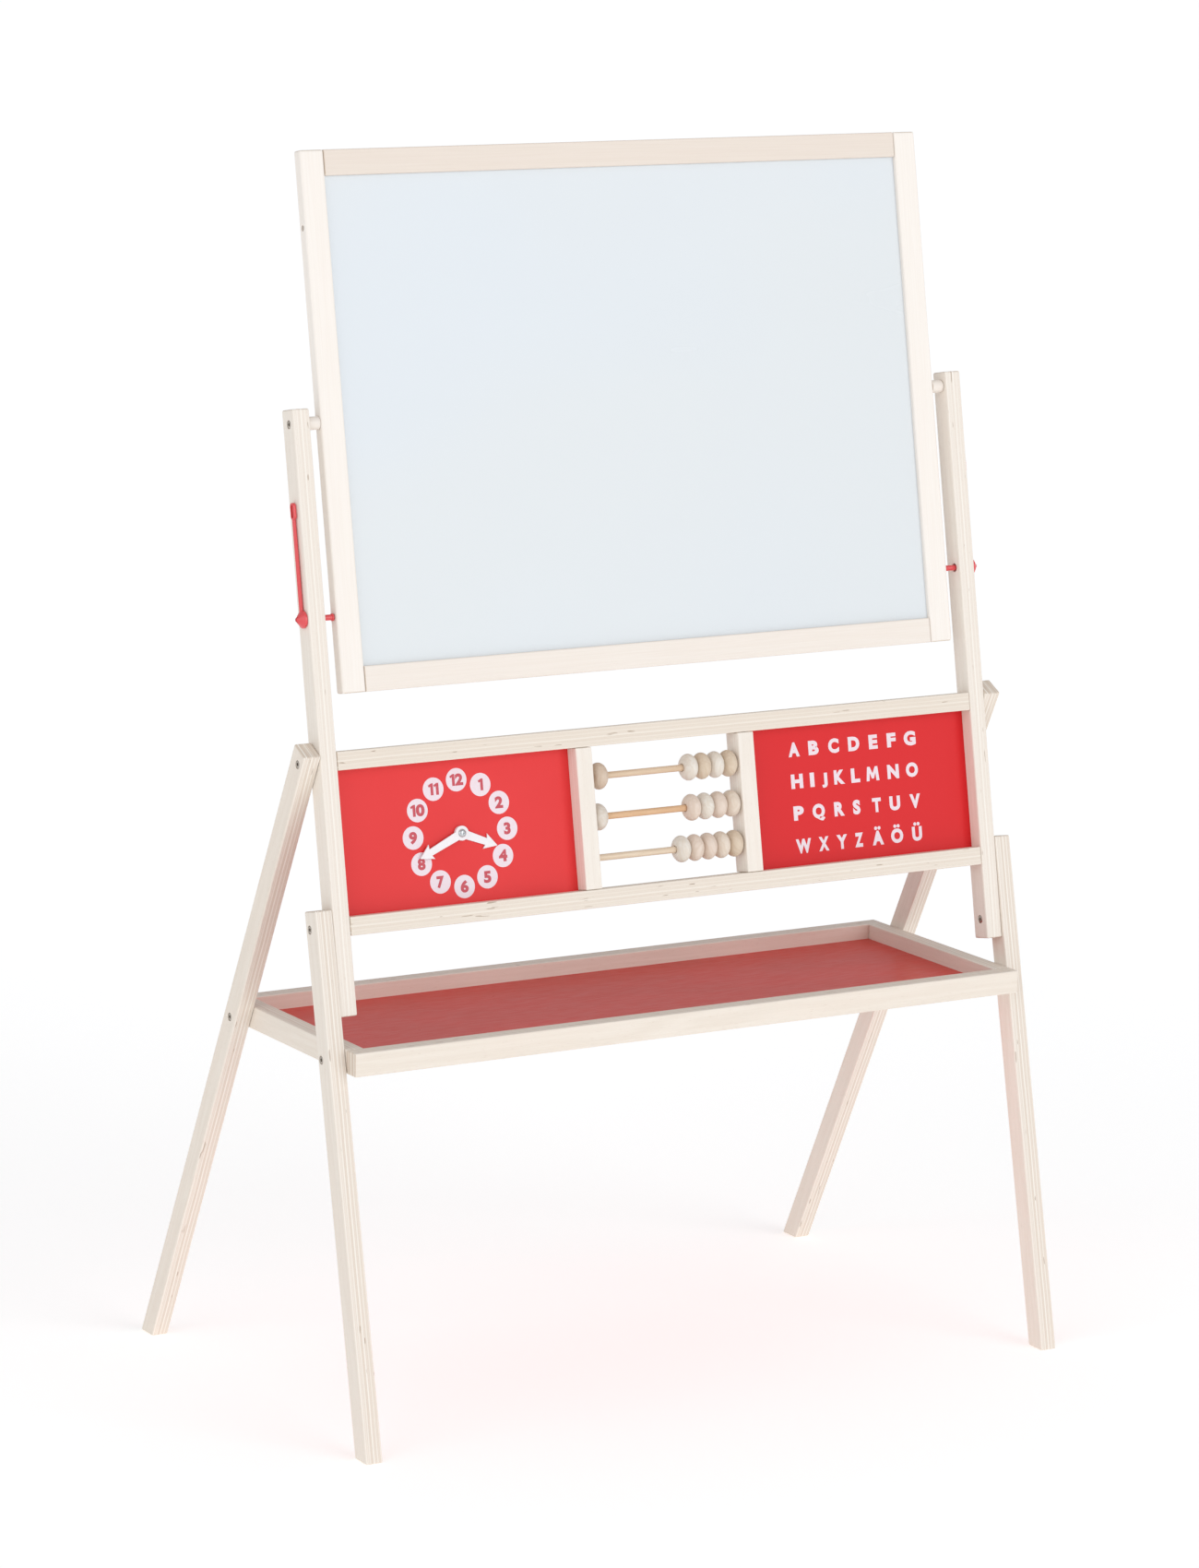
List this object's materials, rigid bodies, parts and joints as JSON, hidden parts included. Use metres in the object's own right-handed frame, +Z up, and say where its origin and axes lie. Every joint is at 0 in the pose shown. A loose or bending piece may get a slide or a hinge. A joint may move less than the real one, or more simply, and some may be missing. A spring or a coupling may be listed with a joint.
{
  "type": "children's easel",
  "caption": "Standing children's easel: a writing board that turns over between two posts, a play panel with clock, abacus and alphabet below it, and a shallow tray between splayed legs.",
  "frame": {"origin": "on the floor, at the middle of the footprint's bounding box", "axes": "+Z up, +Y towards the rear feet, +X to the right for a child who faces the whiteboard"},
  "size_m": [0.7756, 0.4836, 1.1915],
  "materials": {
    "plywood": "pale birch plywood, limed, cut edges left bare and sealed matt",
    "board_frame": "smooth planed softwood, limed, satin",
    "rod_wood": "turned birch dowel, bare",
    "bead_wood": "turned wood, bare, with faint grain",
    "red_panel": "fibreboard painted bright red, satin, with printed marks",
    "red_tray": "fibreboard painted red, satin",
    "whiteboard": "white enamelled sheet, glossy",
    "chalkboard": "thin board with matt black chalk paint",
    "red_plastic": "moulded red plastic, satin",
    "white_plastic": "white plastic sheet, satin",
    "steel": "zinc-plated steel, socket heads"
  },
  "bodies": {
    "frame": {"left_post": "plywood", "right_post": "plywood", "left_front_leg": "plywood", "right_front_leg": "plywood", "left_rear_leg": "plywood", "right_rear_leg": "plywood", "upper_panel_rail": "plywood", "lower_panel_rail": "plywood", "left_mullion": "plywood", "right_mullion": "plywood", "clock_panel": "red_panel", "letter_panel": "red_panel", "hand_screw": "steel", "abacus_rod_1": "rod_wood", "abacus_rod_2": "rod_wood", "abacus_rod_3": "rod_wood", "tray_front_board": "plywood", "tray_rear_board": "plywood", "tray_left_side": "plywood", "tray_right_side": "plywood", "tray_floor": "red_tray", "left_rear_leg_screw": "steel", "left_front_leg_screw": "steel", "left_post_screw": "steel", "left_tray_rear_screw": "steel", "left_tray_front_screw": "steel", "right_rear_leg_screw": "steel", "right_front_leg_screw": "steel", "right_post_screw": "steel", "right_tray_rear_screw": "steel", "right_tray_front_screw": "steel"},
    "board": {"board_left_stile": "board_frame", "board_right_stile": "board_frame", "board_top_rail": "board_frame", "board_bottom_rail": "board_frame", "whiteboard_sheet": "whiteboard", "chalkboard_sheet": "chalkboard", "left_pivot_spacer": "plywood", "right_pivot_spacer": "plywood", "left_pivot_screw": "steel", "right_pivot_screw": "steel"},
    "left_lock_pin": {"left_lock_pin": "red_plastic"},
    "right_lock_pin": {"right_lock_pin": "red_plastic"},
    "hour_hand": {"hour_hand": "white_plastic"},
    "minute_hand": {"minute_hand": "white_plastic"},
    "bead_1_1": {"bead_1_1": "bead_wood"},
    "bead_1_2": {"bead_1_2": "bead_wood"},
    "bead_1_3": {"bead_1_3": "bead_wood"},
    "bead_1_4": {"bead_1_4": "bead_wood"},
    "bead_1_5": {"bead_1_5": "bead_wood"},
    "bead_2_1": {"bead_2_1": "bead_wood"},
    "bead_2_2": {"bead_2_2": "bead_wood"},
    "bead_2_3": {"bead_2_3": "bead_wood"},
    "bead_2_4": {"bead_2_4": "bead_wood"},
    "bead_2_5": {"bead_2_5": "bead_wood"},
    "bead_3_1": {"bead_3_1": "bead_wood"},
    "bead_3_2": {"bead_3_2": "bead_wood"},
    "bead_3_3": {"bead_3_3": "bead_wood"},
    "bead_3_4": {"bead_3_4": "bead_wood"},
    "bead_3_5": {"bead_3_5": "bead_wood"}
  },
  "joints": [
    {"name": "board_turn", "type": "hinge", "parent": "frame", "child": "board", "pos_m": [0, -0.04572, 0.94294], "axis": [1, 0, 0], "continuous": true},
    {"name": "left_lock_slide", "type": "slide", "parent": "frame", "child": "left_lock_pin", "axis": [-1, 0, 0], "range_m": [0, 0.024]},
    {"name": "right_lock_slide", "type": "slide", "parent": "frame", "child": "right_lock_pin", "axis": [1, 0, 0], "range_m": [0, 0.024]},
    {"name": "hour_hand_turn", "type": "hinge", "parent": "frame", "child": "hour_hand", "pos_m": [-0.2213, -0.11093, 0.55667], "axis": [0, 0.9839, -0.1788], "continuous": true},
    {"name": "minute_hand_turn", "type": "hinge", "parent": "frame", "child": "minute_hand", "pos_m": [-0.2213, -0.1128, 0.55701], "axis": [0, 0.9839, -0.1788], "continuous": true},
    {"name": "bead_1_5_slide", "type": "slide", "parent": "frame", "child": "bead_1_5", "axis": [-1, 0, 0], "range_m": [0, 0.016]},
    {"name": "bead_1_4_slide", "type": "slide", "parent": "bead_1_5", "child": "bead_1_4", "axis": [-1, 0, 0], "range_m": [0, 0.016]},
    {"name": "bead_1_3_slide", "type": "slide", "parent": "bead_1_4", "child": "bead_1_3", "axis": [-1, 0, 0], "range_m": [0, 0.016]},
    {"name": "bead_1_2_slide", "type": "slide", "parent": "bead_1_3", "child": "bead_1_2", "axis": [-1, 0, 0], "range_m": [0, 0.016]},
    {"name": "bead_1_1_slide", "type": "slide", "parent": "frame", "child": "bead_1_1", "axis": [1, 0, 0], "range_m": [-0.003, 0.018]},
    {"name": "bead_2_5_slide", "type": "slide", "parent": "frame", "child": "bead_2_5", "axis": [-1, 0, 0], "range_m": [0, 0.016]},
    {"name": "bead_2_4_slide", "type": "slide", "parent": "bead_2_5", "child": "bead_2_4", "axis": [-1, 0, 0], "range_m": [0, 0.016]},
    {"name": "bead_2_3_slide", "type": "slide", "parent": "bead_2_4", "child": "bead_2_3", "axis": [-1, 0, 0], "range_m": [0, 0.016]},
    {"name": "bead_2_2_slide", "type": "slide", "parent": "bead_2_3", "child": "bead_2_2", "axis": [-1, 0, 0], "range_m": [0, 0.016]},
    {"name": "bead_2_1_slide", "type": "slide", "parent": "frame", "child": "bead_2_1", "axis": [1, 0, 0], "range_m": [0, 0.02]},
    {"name": "bead_3_5_slide", "type": "slide", "parent": "frame", "child": "bead_3_5", "axis": [-1, 0, 0], "range_m": [0, 0.017]},
    {"name": "bead_3_4_slide", "type": "slide", "parent": "bead_3_5", "child": "bead_3_4", "axis": [-1, 0, 0], "range_m": [0, 0.017]},
    {"name": "bead_3_3_slide", "type": "slide", "parent": "bead_3_4", "child": "bead_3_3", "axis": [-1, 0, 0], "range_m": [0, 0.017]},
    {"name": "bead_3_2_slide", "type": "slide", "parent": "bead_3_3", "child": "bead_3_2", "axis": [-1, 0, 0], "range_m": [0, 0.017]},
    {"name": "bead_3_1_slide", "type": "slide", "parent": "bead_3_2", "child": "bead_3_1", "axis": [-1, 0, 0], "range_m": [0, 0.017]}
  ]
}
